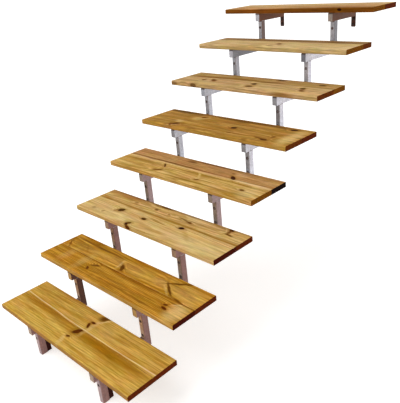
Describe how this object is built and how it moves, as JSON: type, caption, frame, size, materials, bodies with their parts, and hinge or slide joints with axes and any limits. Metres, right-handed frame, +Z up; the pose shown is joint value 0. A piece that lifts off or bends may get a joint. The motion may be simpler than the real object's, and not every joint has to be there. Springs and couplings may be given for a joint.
{
  "type": "outdoor staircase",
  "caption": "Straight open-riser outdoor stair of pine treads on two chains of folded galvanised brackets, bolted to a wall at the top.",
  "frame": {"origin": "on the rear face of the left wall plate, midway between its two bolt holes", "axes": "+X along the treads to the right, +Y up the flight into the wall, +Z up"},
  "size_m": [1, 2.098, 1.409],
  "materials": {
    "treads": "oiled pressure-treated pine, planed, with growth rings and knots",
    "brackets": "hot-dip galvanised folded sheet, dull spangle",
    "feet": "black protective coating on folded steel"
  },
  "bodies": {
    "root": {"tread_1": "treads", "tread_2": "treads", "tread_3": "treads", "tread_4": "treads", "tread_5": "treads", "tread_6": "treads", "tread_7": "treads", "tread_8": "treads", "arm_left_1": "brackets", "arm_left_2": "brackets", "arm_left_3": "brackets", "arm_left_4": "brackets", "arm_left_5": "brackets", "arm_left_6": "brackets", "arm_left_7": "brackets", "arm_left_8": "brackets", "arm_right_1": "brackets", "arm_right_2": "brackets", "arm_right_3": "brackets", "arm_right_4": "brackets", "arm_right_5": "brackets", "arm_right_6": "brackets", "arm_right_7": "brackets", "arm_right_8": "brackets", "post_left_1": "brackets", "post_left_2": "brackets", "post_left_3": "brackets", "post_left_4": "brackets", "post_left_5": "brackets", "post_left_6": "brackets", "post_left_7": "brackets", "post_left_8": "brackets", "post_right_1": "brackets", "post_right_2": "brackets", "post_right_3": "brackets", "post_right_4": "brackets", "post_right_5": "brackets", "post_right_6": "brackets", "post_right_7": "brackets", "post_right_8": "brackets", "foot_left": "feet", "foot_right": "feet"}
  },
  "joints": []
}
